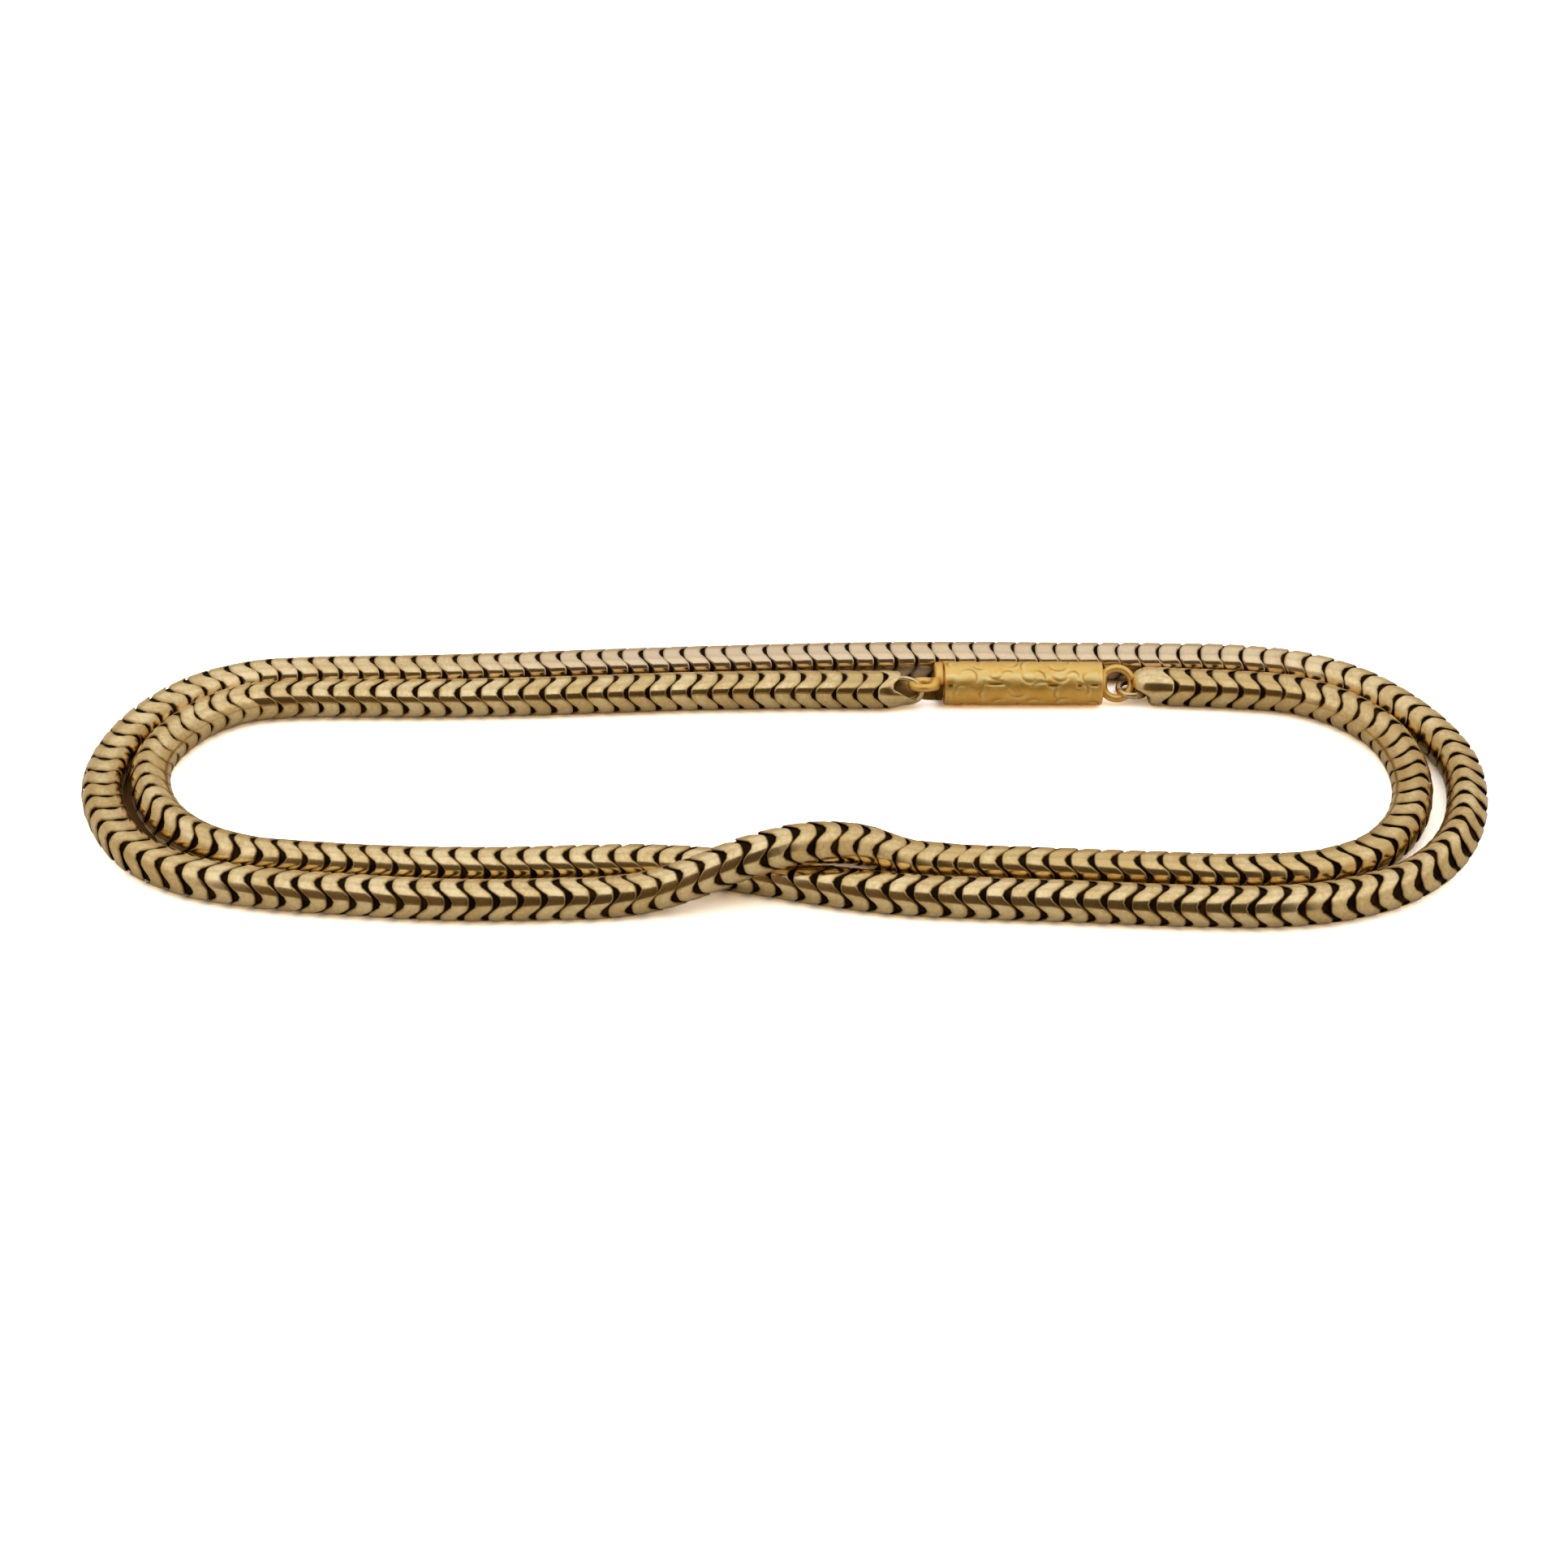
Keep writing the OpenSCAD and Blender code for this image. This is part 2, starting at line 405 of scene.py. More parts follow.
def read_table(table, place):
    """The table's value at a place between its rows."""
    for (low, start), (high, end) in zip(table, table[1:]):
        if place <= high:
            return start + (end - start) * (place - low) / (high - low)
    return table[-1][1]


class Way:
    """The chain's centre line, read by the distance from its left end."""

    def __init__(self, points, step=0.1 * MM):
        self.points = smooth_route(points, step)
        self.reach = [0.0]
        for a, b in zip(self.points, self.points[1:]):
            self.reach.append(self.reach[-1] + (b - a).length)
        self.length = self.reach[-1]

    def point(self, distance):
        distance = min(max(distance, 0.0), self.length)
        guess = int(distance / self.length * (len(self.reach) - 2))
        while self.reach[guess] > distance:
            guess -= 1
        while guess < len(self.reach) - 2 and self.reach[guess + 1] < distance:
            guess += 1
        share = (distance - self.reach[guess]) / (self.reach[guess + 1] - self.reach[guess])
        return self.points[guess].lerp(self.points[guess + 1], share)

    def heading(self, distance, reach=0.8 * MM):
        ahead = min(distance + reach, self.length)
        behind = max(distance - reach, 0.0)
        return (self.point(ahead) - self.point(behind)).normalized()

    def seat(self, distance, roll=0.0):
        """Place of a piece on the chain: X forward, minus Y to the outer side, Z up, then rolled."""
        forward = self.heading(distance)
        inward = Vector((0, 0, 1)).cross(forward).normalized()
        up = forward.cross(inward)
        turn = Matrix((forward, inward, up)).transposed().to_4x4()
        return Matrix.Translation(self.point(distance)) @ turn @ Matrix.Rotation(-roll, 4, "X")


def edge_shift(angle, snug):
    """How far ahead of its middle a link's front edge is, at an angle from a forward tip."""
    wave = math.tau / waves
    from_tip = abs((angle + wave / 2) % wave - wave / 2)
    notch = edge_notch + (snug_notch - edge_notch) * snug
    reach = edge_reach + (snug_reach - edge_reach) * snug
    return notch + reach * read_table(edge_curve, math.degrees(from_tip))


def beside_edge(by_front, inset, angle, radius, ahead=0.0, snug=0.0):
    """A place inside a link's front or back edge, the way out there, and the way square to the edge."""
    step = math.radians(3)
    half_wave = math.pi / waves
    if by_front:
        shift = edge_shift(angle, snug)
        slope = edge_shift(angle + step, snug) - edge_shift(angle - step, snug)
    else:
        inset = -inset
        shift = -edge_shift(angle + half_wave, snug)
        slope = edge_shift(angle + half_wave - step, snug) - edge_shift(angle + half_wave + step, snug)
    slope /= 2 * step * chain_radius
    square = math.hypot(1, slope)
    turned = angle + inset * slope / square / chain_radius
    out = Vector((0, -math.cos(turned), math.sin(turned)))
    place = Vector((ahead + shift - inset / square, 0, 0)) + radius * out
    forward = Vector((1, -slope * math.sin(turned), -slope * math.cos(turned))) / square
    return place, out, forward


merge_distance = 0.001 * MM


def turned_ring(outline, steps, closed=True):
    """An outline of (x, radius) corners, spun round the X axis from the minus Y side."""
    form = bmesh.new()
    corners = [form.verts.new((x, -radius, 0)) for x, radius in outline]
    pairs = list(zip(corners, corners[1:])) + ([(corners[-1], corners[0])] if closed else [])
    sides = [form.edges.new(pair) for pair in pairs]
    bmesh.ops.spin(
        form, geom=corners + sides, cent=(0, 0, 0), axis=(1, 0, 0), angle=math.tau,
        steps=steps, use_merge=True,
    )
    bmesh.ops.remove_doubles(form, verts=form.verts, dist=merge_distance)
    bmesh.ops.recalc_face_normals(form, faces=form.faces)
    for face in form.faces:
        face.smooth = True
    return form


def angle_round(vertex):
    """A place's angle round the X axis, up from the minus Y side."""
    return math.atan2(vertex.co.z, -vertex.co.y)


def add_form(form, other, place=None):
    """Puts a copy of another form into this one."""
    copied = other.copy()
    if place is not None:
        bmesh.ops.transform(copied, matrix=place, verts=copied.verts)
    passing = bpy.data.meshes.new("passing")
    copied.to_mesh(passing)
    copied.free()
    form.from_mesh(passing)
    bpy.data.meshes.remove(passing)


def make_piece(name, form, materials):
    """Makes the form an object that rides on the part."""
    mesh = bpy.data.meshes.new(name)
    form.to_mesh(mesh)
    form.free()
    for material in materials:
        mesh.materials.append(material)
    piece = bpy.data.objects.new(name, mesh)
    scene.collection.objects.link(piece)
    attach(piece, "root")
    return piece


# Noises in the gold, as scale and detail: its mottling, broad patches, fine rubbing and dents
mottling = (900, 3)
patches = (110, 2)
rubbing = (3600, 3)
denting = (1300, 1)
# Fine lines that run round a link: their scale and detail, how close they are across the link, and
# how far they shift with its tone
line_noise = {"Scale": 3, "Detail": 2}
line_closeness = 2.4
line_shift = 30
# Where across a link the painted shade towards its edges starts and is full, and how dark it is at the
# edge
edge_shade_range = (0.3, 1.0)
edge_shade_share = 0.36
# How much each of these deepens the colour, and between which sums it turns deep
mottle_depth = 0.5
patch_depth = 0.3
line_depth = 0.3
rub_depth = 0.5
edge_shade_depth = 0.6
depth_range = (0.34, 0.8)
# How much the mottling adds to the grime, and between which sums grime and painted shade turn to the
# dark colour
mottle_grime = 0.35
dirt_and_shade_range = (0.3, 1.2)
# How much each of these roughens the surface
mottle_rough = 0.08
rub_rough = 0.06
line_rough = 0.06
dirt_rough = 0.3
rub_height = 0.003 * MM
rub_strength = 0.25
dent_strength = 0.5


def old_gold(name, colours, polish, dents):
    """Worn gold: its colours are the bright, the deep, the pink and the dark one of grime and painted
    shade.
    """
    material = bpy.data.materials.new(name)
    gold = Shader(material)
    place = gold.node("ShaderNodeTexCoord", output="Object")
    mottle, patch, rub, dent = [
        gold.noise(place, *noise) for noise in (mottling, patches, rubbing, denting)
    ]
    tone, grime_and_shade, blush, breadth = [
        gold.node("ShaderNodeAttribute", {"attribute_name": layer}, {}, 2)
        for layer in ("tone", "grime_and_shade", "blush", "breadth")
    ]
    spread = breadth * line_closeness + tone * line_shift
    lines = gold.node("ShaderNodeTexNoise", {"noise_dimensions": "1D"}, {"W": spread, **line_noise})
    # Painted shade that darkens each link towards its edges
    edge = gold.passage(abs(breadth), *edge_shade_range, 0.0, edge_shade_share)
    tone_shift = mottle * mottle_depth + patch * patch_depth + lines * line_depth + rub_depth * (rub - 0.5)
    depth = gold.passage(tone_shift + tone + edge_shade_depth * edge, *depth_range)
    dirt_and_shade = gold.passage(grime_and_shade + edge + mottle_grime * mottle, *dirt_and_shade_range)
    bright, deep, pink, dirt_and_shade_colour = colours
    clean = gold.mix(blush, gold.mix(depth, bright, deep), pink)
    roughness = polish + mottle_rough * mottle + rub_rough * rub + line_rough * lines
    rub_bump = {"Strength": rub_strength, "Distance": rub_height, "Height": rub}
    rubbed = gold.node("ShaderNodeBump", {}, rub_bump)
    dent_bump = {"Strength": dent_strength, "Distance": dents, "Height": dent, "Normal": rubbed}
    surface = {
        "Base Color": gold.mix(dirt_and_shade, clean, dirt_and_shade_colour),
        "Metallic": 1.0,
        "Roughness": roughness + dirt_rough * dirt_and_shade,
        "Normal": gold.node("ShaderNodeBump", {}, dent_bump),
    }
    principled = gold.node("ShaderNodeBsdfPrincipled", {}, surface)
    gold.node("ShaderNodeOutputMaterial", {}, {0: principled})
    return material


way = Way(route_points)
link_stations = waves * len(front_stations)
link = turned_ring([(k * MM, row[2]) for k, row in enumerate(link_outline)], link_stations)
link_darkening = link.verts.layers.float.new("grime_and_shade")
link_tone = link.verts.layers.float.new("tone")
link_blush = link.verts.layers.float.new("blush")
link_breadth = link.verts.layers.float.new("breadth")
# Which way each corner looks, and out from the axis there, and its places in a loose and a snug link
leans = {}
loose_places = {}
snug_places = {}
in_notch = set()
for vertex in link.verts:
    row = link_outline[round(vertex.co.x / MM)]
    by_front, inset, radius, breadth, notch_darkening, flank_darkening, lean = row
    station = round(angle_round(vertex) / math.tau * link_stations) % link_stations
    wave_number, place_in_wave = divmod(station, len(front_stations))
    stations = front_stations if by_front else back_stations
    angle = math.radians(stations[place_in_wave])
    from_notch = abs(angle - math.pi / waves) if by_front else min(angle, math.tau / waves - angle)
    by_notch = from_notch < notch_half_width
    angle += math.tau / waves * wave_number
    vertex.co, out, forward = beside_edge(by_front, inset, angle, radius)
    loose_places[vertex] = vertex.co.copy()
    snug_places[vertex] = beside_edge(by_front, inset, angle, radius, 0.0, 1.0)[0]
    # The edges are painted darker, as patina and as shade by the gaps, most in the notches
    vertex[link_darkening] = notch_darkening if by_notch else flank_darkening
    if by_notch:
        in_notch.add(vertex)
    vertex[link_breadth] = breadth
    lean = math.radians(lean)
    leans[vertex] = (out * math.cos(lean) + forward * math.sin(lean), out)
outline_darkening = {vertex: vertex[link_darkening] for vertex in link.verts}
# The way that each corner of each face looks: outward on the round faces, inward underneath
link_looks = []
for face in link.faces:
    # Faces underneath get the dark inside material, as painted shade
    underneath = all(vertex[link_darkening] > 0 for vertex in face.verts)
    face.material_index = 1 if underneath else 0
    for corner in face.loops:
        look, out = leans[corner.vert]
        link_looks.append((corner.vert, -out if underneath else look))

seats = [end_link]
while seats[-1] < way.length - end_link:
    seats.append(seats[-1] + read_table(pitches, seats[-1] / MM) * MM)
fit = (way.length - 2 * end_link) / (seats[-1] - end_link)
seats = [end_link + (distance - end_link) * fit for distance in seats]

play = random.Random(5)
chain_form = bmesh.new()
chain_looks = []
for distance in seats:
    at = distance / MM
    roll = math.radians(read_table(twist, at) + play.uniform(-roll_play, roll_play))
    tilt = Matrix.Rotation(math.radians(play.uniform(-tilt_play, tilt_play)), 4, "Y")
    swing = Matrix.Rotation(math.radians(play.uniform(-tilt_play, tilt_play)), 4, "Z")
    tone = play.uniform(-tone_play, tone_play) + read_table(depth_table, at)
    blush = read_table(blush_table, at) * play.uniform(least_blush, 1)
    snug = read_table(snug_table, at)
    tucked = read_table(tucked_table, at)
    edge_darkening = read_table(edge_darkening_table, at)
    crowned = crown_turn * read_table(crown_table, at)
    link_place = way.seat(distance, roll) @ tilt @ swing
    turn = link_place.to_3x3()
    turns = {}
    for vertex in link.verts:
        vertex.co = loose_places[vertex].lerp(snug_places[vertex], snug)
        vertex[link_tone] = tone
        vertex[link_blush] = blush
        vertex[link_darkening] = outline_darkening[vertex] * (1 if vertex in in_notch else edge_darkening)
        height = (link_place @ vertex.co).z
        out = turn @ leans[vertex][1]
        # Painted shade on a tucked strand's low front side
        if tucked and out.y < 0:
            low = min(max((tucked_high - height) / (tucked_high - tucked_low), 0), 1)
            vertex[link_darkening] = max(vertex[link_darkening], tucked_shade * tucked * low)
        off = math.degrees(math.atan2(out.z, -out.y)) - crown_up
        bent = crowned * math.sin(math.pi * off / crown_reach) if abs(off) < crown_reach else 0
        turns[vertex] = Matrix.Rotation(-math.radians(bent), 3, "X") @ turn
    add_form(chain_form, link, link_place)
    chain_looks.extend(turns[vertex] @ look for vertex, look in link_looks)
link.free()

hollow_form = bmesh.new()
facing = Matrix.Rotation(math.radians(90), 4, "Y")
inside_start = way.seat(0.0) @ Matrix.Translation((-inside_overlap, 0, 0))
inside_end = way.seat(way.length) @ Matrix.Translation((inside_overlap, 0, 0))
frames = [inside_start] + [way.seat(distance) for distance in seats] + [inside_end]
frames = [place @ facing for place in frames]
bmesh.ops.create_circle(
    hollow_form, cap_ends=True, radius=inside_radius, segments=inside_sides, matrix=frames[0]
)
rim = list(hollow_form.edges)
for last, next_one in zip(frames, frames[1:]):
    grown = bmesh.ops.extrude_edge_only(hollow_form, edges=rim)["geom"]
    rim = [item for item in grown if isinstance(item, bmesh.types.BMEdge)]
    moved = [item for item in grown if isinstance(item, bmesh.types.BMVert)]
    bmesh.ops.transform(hollow_form, matrix=next_one @ last.inverted(), verts=moved)
bmesh.ops.holes_fill(hollow_form, edges=rim)
bmesh.ops.recalc_face_normals(hollow_form, faces=hollow_form.faces)
for face in hollow_form.faces:
    face.smooth = True

# The chain's bright, deep and pink colours, and its dark one for patina and painted shade
chain_colours = [
    (0.93, 0.75, 0.44, 1), (0.7, 0.5, 0.22, 1), (0.82, 0.65, 0.47, 1), (0.1, 0.045, 0.008, 1),
]
chain_polish = 0.09
chain_dents = 0.02 * MM
# The inside, painted dark as shade: its two colours, its noise, and between which values they change
shadow_dark = (0.007, 0.003, 0.001, 1)
shadow_brown = (0.045, 0.02, 0.004, 1)
shadow_noise = (900, 2)
shadow_range = (0.45, 0.8)

pale_gold = old_gold("pale_gold", chain_colours, chain_polish, chain_dents)
shadow_gold = bpy.data.materials.new("shadow_gold")
shadow = Shader(shadow_gold)
shadow_mottle = shadow.noise(shadow.node("ShaderNodeTexCoord", output="Object"), *shadow_noise)
shadow_surface = {
    "Base Color": shadow.mix(shadow.passage(shadow_mottle, *shadow_range), shadow_dark, shadow_brown),
    "Roughness": 0.6,
    "Specular IOR Level": 0.06,
}
inside_surface = shadow.node("ShaderNodeBsdfPrincipled", {}, shadow_surface)
shadow.node("ShaderNodeOutputMaterial", {}, {0: inside_surface})
chain_links = make_piece("chain_links", chain_form, [pale_gold, shadow_gold])
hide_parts("chain")
chain_links.data.normals_split_custom_set(chain_looks)
make_piece("chain_inside", hollow_form, [shadow_gold])

# The left end cup
# A short gold cup, soldered over the chain's left end, with a rim cut to the wave of the links.
# A thick upright eye of tapered wire grows out of its closed end.

cup_steps = 60
left_cup_end = -1.12 * MM
left_eye_middle = 2.4 * MM
left_eye_wire = 0.42 * MM
left_eye_at = Vector((2.0, 0, 0.25)) * MM
left_eye_stretch = Vector((1.13, 1.0, 0.88))
left_eye_turn = -11
# Where the eye is thicker, in its own plane and square to it, and where it is painted darker as shade:
# how much, at which angle round the eye, and how far to both sides of that, in degrees
left_eye_swells = [(0.9, -110, 110)]
left_eye_side_swells = [(2.4, -140, 80), (0.6, 160, 60)]
left_eye_shade = [(1.2, -150, 80), (0.4, 110, 70)]
# Corners of the cup's rim: how far inside the rim, how far from the axis, and how dark it is painted,
# as grime and as shade in the crease by the links
left_rim = [
    (0.16 * MM, 1.27 * MM, 1.0),
    (0.0, 1.36 * MM, 0.9),
    (0.05 * MM, 1.46 * MM, 0.3),
    (0.2 * MM, 1.5 * MM, 0.0),
]
# The cup's outline behind its rim: how far forward, how far from the axis, and how dark it is painted;
# the inner wall is painted dark, as shade
left_cup_outline = [
    (left_cup_end + 0.12 * MM, 1.5 * MM, 0.0),
    (left_cup_end, 1.45 * MM, 0.1),
    (left_cup_end + 0.02 * MM, 1.28 * MM, 0.5),
    (left_cup_end + 0.2 * MM, 1.15 * MM, 0.72),
    (left_cup_end + 0.22 * MM, 0.0, 0.72),
]
# The closed end is cut like a scoop, with a long lip below and a short one on top. The lips take
# this many rows of the outline with them
scoop_rows = 3
scoop_lip = 1.95 * MM
scoop_half_turn = 122
scoop_sharpness = 3.2
top_lip = 0.55 * MM
top_lip_half_turn = 38
top_lip_sharpness = 2
lip_draw_in = 0.4
# The rim's rows are spun this far out, in millimetres, to tell them from the outline's rows
rim_apart = 10


def make_cup(rim, by_front, outline, ahead, snug):
    """A cup round the X axis, and each corner's row. The rim's corners follow the links' wave."""
    forward = 1 if by_front else -1
    corners = [(forward * (rim_apart - k) * MM, radius) for k, (_, radius, _) in enumerate(rim)]
    corners += [(x, radius) for x, radius, _ in outline]
    form = turned_ring(corners, cup_steps, closed=False)
    darkening_layer = form.verts.layers.float.new("grime_and_shade")
    rows = {}
    for vertex in form.verts:
        radius = math.hypot(vertex.co.y, vertex.co.z)
        row = min(
            range(len(corners)),
            key=lambda k: abs(corners[k][0] - vertex.co.x) + abs(corners[k][1] - radius),
        )
        rows[vertex] = row
        if row < len(rim):
            inset, radius, vertex[darkening_layer] = rim[row]
            vertex.co = beside_edge(by_front, inset, angle_round(vertex), radius, ahead, snug)[0]
        else:
            vertex[darkening_layer] = outline[row - len(rim)][2]
    return form, rows


def near(turn, middle, width):
    """1 where the turn is at the middle angle, smoothly 0 beyond the width. Angles in degrees."""
    apart = abs((math.degrees(turn) - middle + 180) % 360 - 180)
    return 0.5 + 0.5 * math.cos(math.pi * min(apart / width, 1))


def gathered(places, turn):
    """What the places add up to at a turn: each row gives how much, at which angle and how far."""
    return sum(much * near(turn, middle, width) for much, middle, width in places)


def wire_turn(vertex):
    return math.atan2(vertex.co.z, vertex.co.x)


def wire_eye(middle, wire, swells, side_swells, steps=48, sides=14):
    """Round wire bent to a ring in the XZ plane, thicker in that plane and square to it by swells."""
    form = bmesh.new()
    radius = middle / 2
    section = bmesh.ops.create_circle(
        form, cap_ends=False, radius=wire / 2, segments=sides,
        matrix=Matrix.Translation((radius, 0, 0)),
    )["verts"]
    bmesh.ops.spin(
        form, geom=section + list(form.edges), cent=(0, 0, 0), axis=(0, 1, 0), angle=math.tau,
        steps=steps, use_merge=True,
    )
    bmesh.ops.remove_doubles(form, verts=form.verts, dist=merge_distance)
    bmesh.ops.recalc_face_normals(form, faces=form.faces)
    for vertex in form.verts:
        turn = wire_turn(vertex)
        out = Vector((math.cos(turn), 0, math.sin(turn)))
        reach = (vertex.co.dot(out) - radius) * (1 + gathered(swells, turn))
        side = vertex.co.y * (1 + gathered(side_swells, turn))
        vertex.co = out * (radius + reach) + Vector((0, side, 0))
    for face in form.faces:
        face.smooth = True
    return form


def soil(form, grime_and_shade):
    """Writes how dark each of the form's corners is painted, for grime and for shade."""
    layer = form.verts.layers.float.new("grime_and_shade")
    for vertex in form.verts:
        vertex[layer] = grime_and_shade(vertex)


left_seat = way.seat(0.0)
left_roll = math.radians(twist[0][1])
left_rim_ahead = end_link - pitches[0][1] * MM
left_form, left_rows = make_cup(left_rim, True, left_cup_outline, left_rim_ahead, snug_table[0][1])
for vertex, row in left_rows.items():
    if 0 <= row - len(left_rim) < scoop_rows:
        from_below = math.degrees(angle_round(vertex) + left_roll) + 90
        off_below = abs((from_below + 180) % 360 - 180) / scoop_half_turn
        off_above = abs(from_below % 360 - 180) / top_lip_half_turn
        below = max(0, 1 - off_below**scoop_sharpness)
        above = max(0, 1 - off_above**top_lip_sharpness)
        vertex.co.x -= scoop_lip * below + top_lip * above
        draw_in = 1 - lip_draw_in * below**2
        vertex.co.y *= draw_in
        vertex.co.z *= draw_in
left_cup_place = left_seat @ Matrix.Rotation(-left_roll, 4, "X")
bmesh.ops.transform(left_form, matrix=left_cup_place, verts=left_form.verts)

left_eye = wire_eye(left_eye_middle, left_eye_wire, left_eye_swells, left_eye_side_swells)
soil(left_eye, lambda vertex: gathered(left_eye_shade, wire_turn(vertex)))
left_eye_place = left_seat @ Matrix.Rotation(math.radians(180 + left_eye_turn), 4, "Z")
left_eye_place = left_eye_place @ Matrix.Translation(left_eye_at)
left_eye_place = left_eye_place @ Matrix.Diagonal(left_eye_stretch).to_4x4()
add_form(left_form, left_eye, left_eye_place)
left_eye.free()
left_cup = make_piece("left_end_cup", left_form, [pale_gold])
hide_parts("end_cap_left")

# The right end cup
# A gold cup over the chain's right end, with a round nose that is cut back below.
# A flat eye of thick wire grows out of the nose and hangs in the barrel's ring.

right_eye_middle = 2.0 * MM
right_eye_wire = 0.5 * MM
right_eye_at = Vector((3.1, 0, -0.3)) * MM
right_eye_swells = [(0.6, 180, 90)]
right_eye_side_swells = [(1.1, 180, 100)]
# The whole eye is painted a little darker, as shade, and more in these places
right_eye_shade = 0.35
right_eye_shade_places = [(0.6, 60, 90), (0.9, 190, 75)]
# The rim and the outline of the cup and its nose, as on the left cup
right_rim = [
    (0.16 * MM, 1.3 * MM, 1.0),
    (0.0, 1.4 * MM, 0.8),
    (0.05 * MM, 1.47 * MM, 0.2),
    (0.16 * MM, 1.5 * MM, 0.0),
]
right_cup_outline = [
    (1.4 * MM, 1.5 * MM, 0.0),
    (1.9 * MM, 1.5 * MM, 0.0),
    (2.2 * MM, 1.45 * MM, 0.0),
    (2.5 * MM, 1.34 * MM, 0.0),
    (2.78 * MM, 1.18 * MM, 0.0),
    (3.02 * MM, 0.96 * MM, 0.0),
    (3.18 * MM, 0.72 * MM, 0.0),
    (3.27 * MM, 0.48 * MM, 0.0),
    (3.3 * MM, 0.24 * MM, 0.0),
    (3.3 * MM, 0.0, 0.0),
]
# The nose is cut back below: how far at its tip, from where to where along the cup, and between which
# heights over the axis
nose_cut = 1.35 * MM
nose_root = 1.3 * MM
nose_tip = 3.3 * MM
nose_cut_start = 0.5 * MM
nose_cut_end = -0.35 * MM
# The cut is painted dark, as shade under the nose, from this row of the outline on
nose_shade_row = 5
nose_shade = 0.9

right_seat = way.seat(way.length)
right_roll = math.radians(read_table(twist, way.length / MM))
right_rim_ahead = pitches[-1][1] * MM - end_link
right_form, right_rows = make_cup(
    right_rim, False, right_cup_outline, right_rim_ahead, snug_table[-1][1]
)
right_darkening = right_form.verts.layers.float["grime_and_shade"]
for vertex, row in right_rows.items():
    if row >= len(right_rim):
        height = math.hypot(vertex.co.y, vertex.co.z) * math.sin(angle_round(vertex) + right_roll)
        share = min(max((nose_cut_start - height) / (nose_cut_start - nose_cut_end), 0), 1)
        share = share * share * (3 - 2 * share)
        vertex.co.x -= nose_cut * share * (vertex.co.x - nose_root) / (nose_tip - nose_root)
        if row - len(right_rim) >= nose_shade_row:
            vertex[right_darkening] = nose_shade * share
right_cup_place = right_seat @ Matrix.Rotation(-right_roll, 4, "X")
bmesh.ops.transform(right_form, matrix=right_cup_place, verts=right_form.verts)

right_eye = wire_eye(right_eye_middle, right_eye_wire, right_eye_swells, right_eye_side_swells)
soil(right_eye, lambda vertex: right_eye_shade + gathered(right_eye_shade_places, wire_turn(vertex)))
lie_flat = Matrix.Rotation(math.radians(90), 4, "X")
right_eye_place = right_seat @ Matrix.Translation(right_eye_at) @ lie_flat
add_form(right_form, right_eye, right_eye_place)
right_eye.free()
right_cup = make_piece("right_end_cup", right_form, [pale_gold])
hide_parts("end_cap_right")

# The clasp's plug
# A gold collar that closes the barrel's mouth, with a plain tongue inside the barrel.
# A flat ring of wire, soldered on its front, holds the left cup's eye.

clasp_radius = 1.7 * MM
clasp_y = 12.4 * MM
barrel_x = 12.45 * MM
mouth_gap = 0.1 * MM
collar_length = 0.65 * MM
clasp_steps = 72
clasp_seat = Matrix.Translation((barrel_x, clasp_y, clasp_radius))
# The collar sits a little above the barrel's axis
collar_lift = 0.2 * MM
collar_outline = [
    (-collar_length, 0.0),
    (-collar_length, 1.3 * MM),
    (-collar_length + 0.06 * MM, 1.43 * MM),
    (-collar_length + 0.16 * MM, 1.5 * MM),
    (-0.14 * MM, 1.5 * MM),
    (-0.03 * MM, 1.45 * MM),
    (0.0, 1.36 * MM),
    (0.0, 0.0),
]
tongue_radius = 1.1 * MM
tongue_length = 9.6 * MM
tongue_bevel = 0.1 * MM
tongue_outline = [
    (-mouth_gap, 0.0),
    (-mouth_gap, tongue_radius),
    (tongue_length - tongue_bevel, tongue_radius),
    (tongue_length, tongue_radius - tongue_bevel),
    (tongue_length, 0.0),
]
# Degrees up from the front above which the collar is not darkened, and how many below that take it to
# its full painted shade
collar_unshaded_up = 34
collar_shade_reach = 16
collar_shade = 0.9
# A short shank under the flat ring, painted dark as shade
shank_outline = [
    (-1.5 * MM, 0.0),
    (-1.45 * MM, 0.18 * MM),
    (-1.2 * MM, 0.33 * MM),
    (-0.8 * MM, 0.41 * MM),
    (0.0, 0.45 * MM),
    (0.0, 0.0),
]
shank_at = Vector((-0.7, -0.95, -0.42)) * MM
shank_steps = 24
shank_shade = 0.8
flat_ring_at = Vector((10.81, 11.1, 2.42)) * MM
flat_ring_middle = 1.84 * MM
flat_ring_wire = 0.65 * MM
flat_ring_swells = [(0.15, 0, 70)]
flat_ring_side_swells = [(0.8, 0, 60)]
flat_ring_sides = 20
# The flat ring's front edge is turned up by this angle
flat_ring_tilt = math.radians(-16)
# It is painted dark, as shade, from this depth below its middle on, and fully so this much further down
ring_shade_from = 0.06 * MM
ring_shade_reach = 0.3 * MM
# Edges sharper than this stay sharp
sharp_edge = math.radians(50)

# The clasp's bright and deep colours, a pale one for the barrel's painted highlights, and a dark one
# for grime and painted shade
clasp_colours = [
    (0.94, 0.64, 0.21, 1), (0.88, 0.52, 0.115, 1), (1.0, 0.87, 0.42, 1), (0.13, 0.055, 0.008, 1),
]
clasp_polish = 0.36
clasp_dents = 0.06 * MM


def keep_sharp(form):
    for edge in form.edges:
        if len(edge.link_faces) == 2 and edge.calc_face_angle() > sharp_edge:
            edge.smooth = False


def height_in_degrees(angle):
    """How far up from the front or the back an angle round the axis is."""
    return math.degrees(math.asin(math.sin(angle)))


